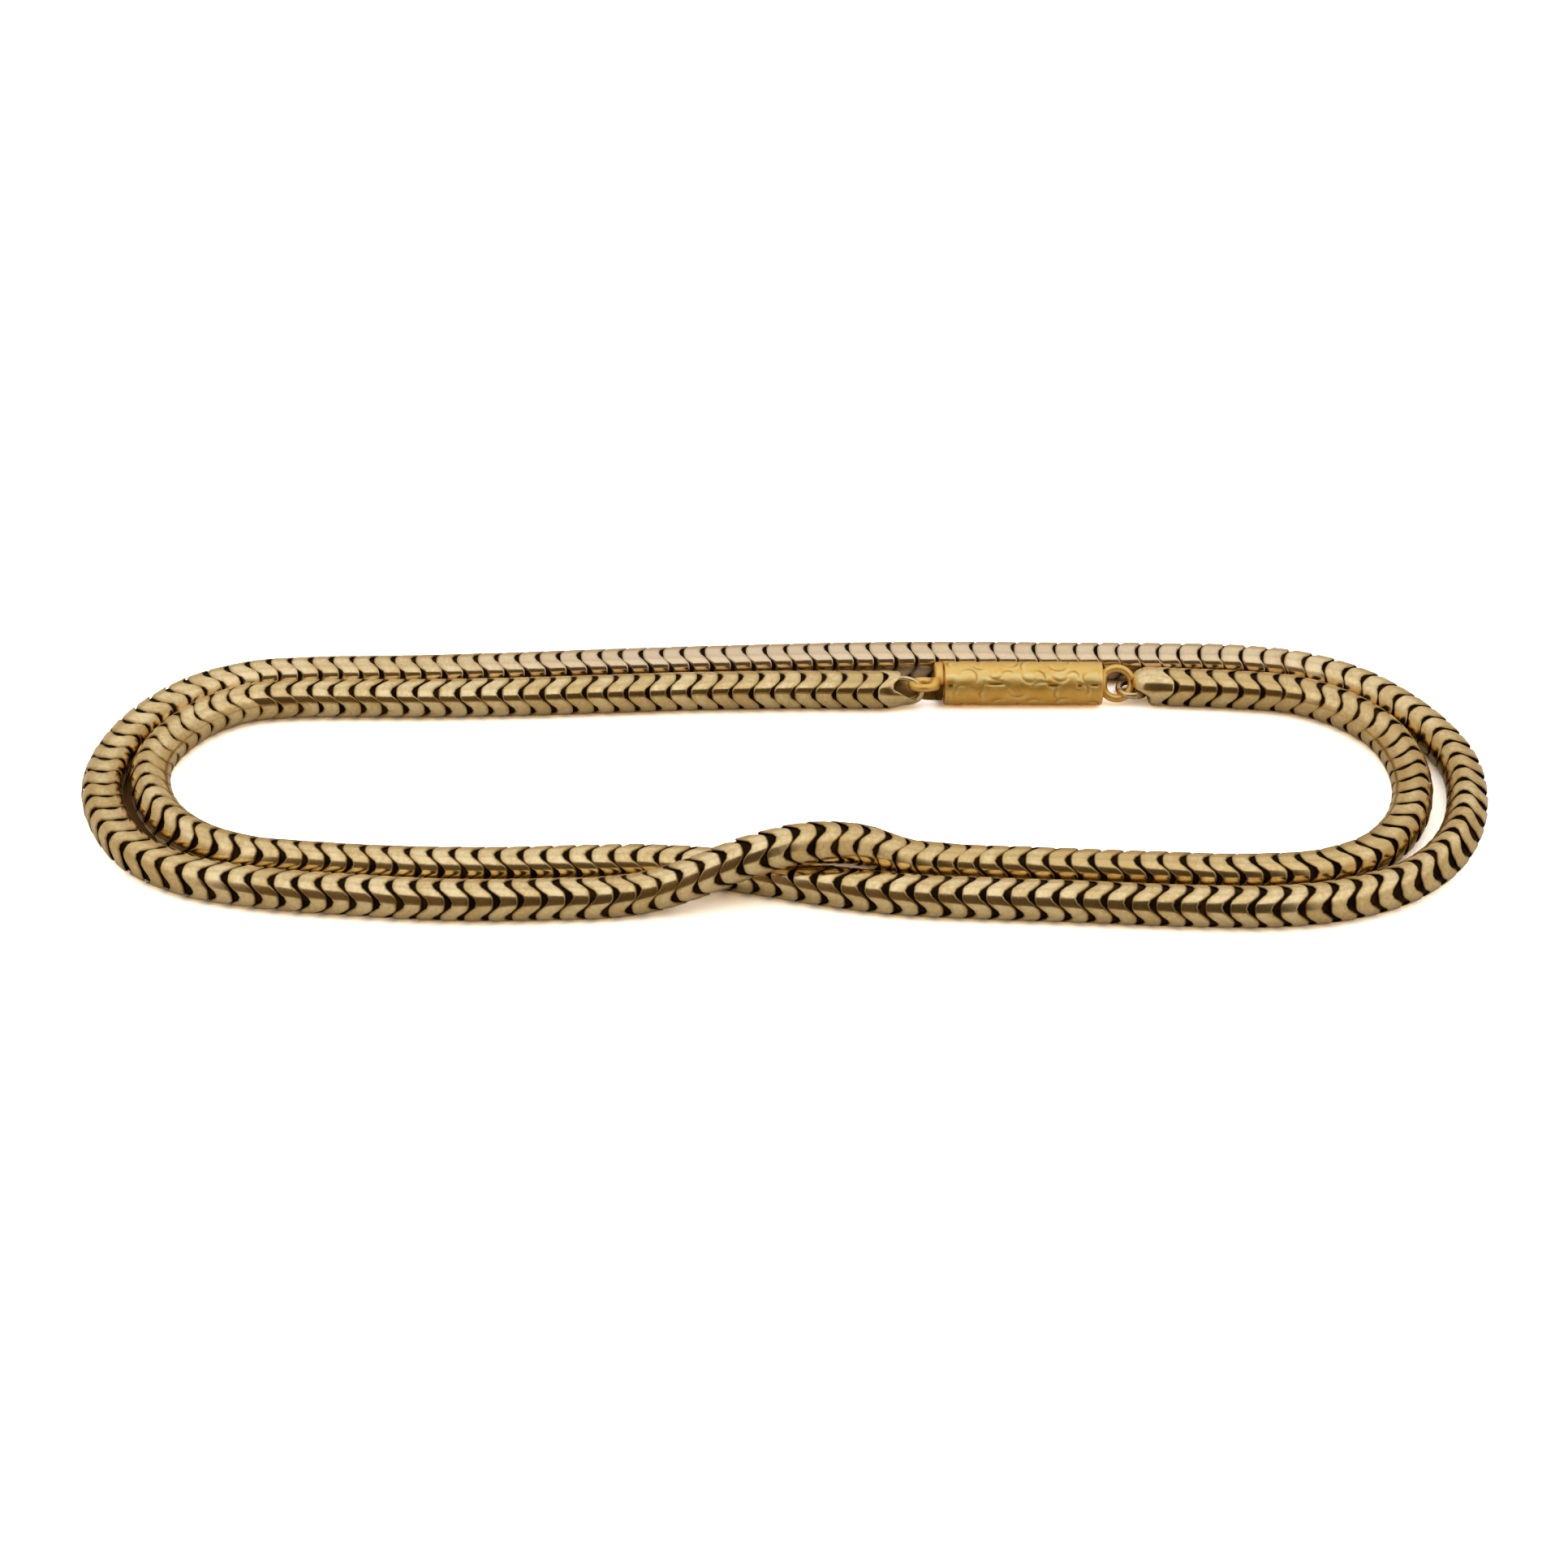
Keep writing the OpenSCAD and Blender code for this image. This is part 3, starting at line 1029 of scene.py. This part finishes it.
# The collar is painted darker below, as shade
def collar_shaded(vertex):
    share = (collar_unshaded_up - height_in_degrees(angle_round(vertex))) / collar_shade_reach
    return min(max(share, 0), collar_shade)


# The flat ring's underside is painted dark as shade
def flat_ring_shaded(vertex):
    return min(max((-vertex.co.y - ring_shade_from) / ring_shade_reach, 0), 1)


rich_gold = old_gold("rich_gold", clasp_colours, clasp_polish, clasp_dents)

plug_form = turned_ring(tongue_outline, clasp_steps, closed=False)
soil(plug_form, lambda vertex: 0)
collar_form = turned_ring(collar_outline, clasp_steps, closed=False)
soil(collar_form, collar_shaded)
add_form(plug_form, collar_form, Matrix.Translation((-mouth_gap, 0, collar_lift)))
collar_form.free()
shank_form = turned_ring(shank_outline, shank_steps, closed=False)
soil(shank_form, lambda vertex: shank_shade)
add_form(plug_form, shank_form, Matrix.Translation(shank_at))
shank_form.free()
keep_sharp(plug_form)
bmesh.ops.transform(plug_form, matrix=clasp_seat, verts=plug_form.verts)

flat_ring = wire_eye(
    flat_ring_middle, flat_ring_wire, flat_ring_swells, flat_ring_side_swells, sides=flat_ring_sides
)
soil(flat_ring, flat_ring_shaded)
flat_ring_place = Matrix.Translation(flat_ring_at) @ Matrix.Rotation(flat_ring_tilt, 4, "X")
add_form(plug_form, flat_ring, flat_ring_place @ lie_flat)
flat_ring.free()
plug = make_piece("clasp_collar_and_ring", plug_form, [rich_gold])
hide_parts("clasp_plug")

# The clasp's barrel
# A tube of richer gold, closed at its right end, with worn scrolls engraved all round it.
# An upright ring of wire, soldered on the closed end, holds the right cup's eye.

barrel_length = 12.3 * MM
barrel_steps = 132
barrel_rows = 170
socket_radius = 1.2 * MM
socket_length = 10.5 * MM
edge_chamfer = 0.15 * MM
# The edge is rounded over a point this far along the barrel and this far inward
round_along = 0.04 * MM
round_inward = 0.05 * MM
upright_ring_middle = 2.35 * MM
upright_ring_wire = 0.64 * MM
upright_ring_swells = [(0.4, 180, 45)]
upright_ring_side_swells = [(0.7, 180, 45)]
# The ring leans back by this angle
upright_ring_lean = math.radians(-35)
cut_depth = 0.06 * MM
cut_width = 0.13 * MM
# Engraved cuts, each a part of a circle: millimetres from the mouth, degrees up from the front,
# radius in millimetres, where the cut starts, and how far round it goes
cuts = [
    (1.76, 50, 0.72, 300, 240), (2.5, 38, 0.55, 260, 110), (6.6, 56, 0.6, 165, 160),
    (7.0, 44, 0.78, 340, 120), (3.9, 60, 0.5, 200, 150), (4.9, 52, 0.5, 20, 150),
    (8.9, 58, 0.6, 190, 160), (9.9, 50, 0.5, 330, 200), (11.2, 47, 0.5, 100, 220),
    (4.0, 10, 0.9, 20, 110), (3.3, 3, 0.6, 110, 130), (7.6, -4, 1.2, 40, 100),
    (9.3, 6, 0.8, 120, 140), (10.6, 14, 0.5, 300, 200), (1.3, 8, 0.6, 20, 170),
    (5.6, 14, 0.6, 170, 170),
]
# The cuts are repeated in rows round the barrel. Each row is shifted along it, by this many
# millimetres at most, and its cuts are turned this many degrees more than the last row's
cut_rows = 4
row_shift = 0.5
row_turn = 70
# No cut reaches further from its middle than this
cut_reach = 1.4 * MM
# Deep nicks: millimetres from the mouth, degrees up from the front, half length, half width
nicks = [
    (0.44, 26, 0.28, 0.28), (3.95, 31, 0.75, 0.13), (8.4, 27, 0.5, 0.16), (10.45, 26, 0.22, 0.2),
    (11.6, 28, 0.38, 0.14),
]
nick_depth = 1.7
border_lines = (0.3 * MM, 11.95 * MM)
border_depth = 0.3
# The cuts are painted darker, as grime and as shade in the grooves
cut_darkening = 0.5
# How far beside a cut a painted highlight lies, as light on a raised edge, and how bright it is
relief_highlight_offset = 0.17 * MM
relief_highlight_shine = 0.6
# The barrel is painted paler on top, as light, with a painted highlight band along it, and keeps its
# deep colour below, as shade
highlight_band_up = 50
highlight_band_width = 13
highlight_band_shine = 0.9
lit_top_from = 33
lit_top_to = 37
# How deep the gold's colour is on the shaded lower side, how much deeper in the cuts, and how much
# paler on the painted lit top, at the painted highlights beside the cuts and on the high places of
# uneven wear
barrel_tone_plain = 0.14
cut_tone = 0.3
lit_top_tone = 0.3
relief_highlight_tone = 0.25
uneven_tone = 0.18
# How deep the unevenness of wear is, and how far it shifts the edge of the painted lit top, in degrees
wear_depth = 0.03 * MM
wear_shift = 7
# What lies this close to the wall's radius belongs to the wall
wall_tolerance = 0.01 * MM


def wear_wave(x, angle):
    """The soft unevenness that wear has left on the barrel, from about -1 to 1."""
    at = x / MM
    broad = math.sin(2.3 * at + 1.7 * math.sin(3 * angle)) * math.cos(4 * angle + 0.9 * at)
    narrow = math.sin(4.1 * at - 5 * angle + math.sin(1.3 * at))
    return 0.6 * broad + 0.4 * narrow


def cut_share(ahead, up, radius, start, sweep):
    """How deep one cut is at a place beside its middle, from 0 to 1. It runs out at its ends."""
    turn = (math.degrees(math.atan2(up, ahead)) - start) % 360
    if turn > sweep:
        return 0.0
    off = (math.hypot(ahead, up) - radius) / cut_width
    return math.exp(-off * off) * math.sin(math.pi * turn / sweep) ** 0.5


def engraving(x, angle):
    """How deep the engraving is at a place on the barrel, as a share of a cut's depth."""
    deepest = max(math.exp(-(((x - line) / cut_width) ** 2)) for line in border_lines) * border_depth
    for at, degrees, half_length, half_width in nicks:
        up = (angle - math.radians(degrees)) * clasp_radius / (half_width * MM)
        ahead = (x - at * MM) / (half_length * MM)
        if abs(up) < 2 and abs(ahead) < 2:
            deepest = max(deepest, nick_depth * math.exp(-(up**2) - ahead**4))
    for row in range(cut_rows):
        for at, degrees, radius, start, sweep in cuts:
            middle = math.radians(degrees + 360 / cut_rows * row)
            up = ((angle - middle + math.pi) % math.tau - math.pi) * clasp_radius
            ahead = x - (at + row_shift * math.sin(5 * row)) * MM
            if abs(up) < cut_reach and abs(ahead) < cut_reach:
                share = cut_share(ahead, up, radius * MM, start + row_turn * row, sweep)
                deepest = max(deepest, share)
    return deepest


wall = [
    edge_chamfer + (barrel_length - 2 * edge_chamfer) * k / barrel_rows for k in range(barrel_rows + 1)
]
barrel_outline = (
    [(socket_length, 0.0), (socket_length, socket_radius), (0.0, socket_radius)]
    + [(0.0, clasp_radius - edge_chamfer), (round_along, clasp_radius - round_inward)]
    + [(x, clasp_radius) for x in wall]
    + [(barrel_length - round_along, clasp_radius - round_inward)]
    + [(barrel_length, clasp_radius - edge_chamfer), (barrel_length, 0.0)]
)
barrel_form = turned_ring(barrel_outline, barrel_steps, closed=False)
keep_sharp(barrel_form)
barrel_darkening = barrel_form.verts.layers.float.new("grime_and_shade")
barrel_tone = barrel_form.verts.layers.float.new("tone")
barrel_highlight = barrel_form.verts.layers.float.new("blush")
for vertex in barrel_form.verts:
    radius = math.hypot(vertex.co.y, vertex.co.z)
    if radius > clasp_radius - wall_tolerance:
        x = vertex.co.x
        angle = angle_round(vertex)
        cut = engraving(x, angle)
        # A painted highlight beside each cut, as light on a raised edge
        relief_highlight = engraving(x - relief_highlight_offset, angle + relief_highlight_offset / clasp_radius)
        uneven = wear_wave(x, angle)
        scale = 1 - (cut_depth * cut + wear_depth * (1 + uneven) / 2) / radius
        vertex.co.y *= scale
        vertex.co.z *= scale
        up = height_in_degrees(angle) + wear_shift * uneven
        # The lit top is painted paler, and a painted highlight band runs along it
        tone_shift = min(max((up - lit_top_from) / (lit_top_to - lit_top_from), 0), 1)
        deep_tone = barrel_tone_plain + cut_tone * cut
        pale_tone = lit_top_tone * tone_shift + relief_highlight_tone * relief_highlight + uneven_tone * uneven
        # The painted highlight band waxes and wanes along the barrel
        wane = 0.75 + 0.25 * math.sin(x / MM * 2.1 + 1)
        highlight_band = near(math.radians(up), highlight_band_up, highlight_band_width) * wane
        shine = max(highlight_band_shine * highlight_band, relief_highlight_shine * relief_highlight)
        vertex[barrel_darkening] = cut_darkening * cut
        vertex[barrel_tone] = deep_tone - pale_tone
        vertex[barrel_highlight] = shine * (1 - min(cut, 1))
bmesh.ops.transform(barrel_form, matrix=clasp_seat, verts=barrel_form.verts)

upright_ring = wire_eye(
    upright_ring_middle, upright_ring_wire, upright_ring_swells, upright_ring_side_swells
)
upright_ring_place = clasp_seat @ Matrix.Translation((barrel_length + upright_ring_middle / 2, 0, 0))
upright_ring_place = upright_ring_place @ Matrix.Rotation(upright_ring_lean, 4, "X")
add_form(barrel_form, upright_ring, upright_ring_place)
upright_ring.free()
barrel = make_piece("engraved_barrel", barrel_form, [rich_gold])
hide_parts("clasp_barrel")
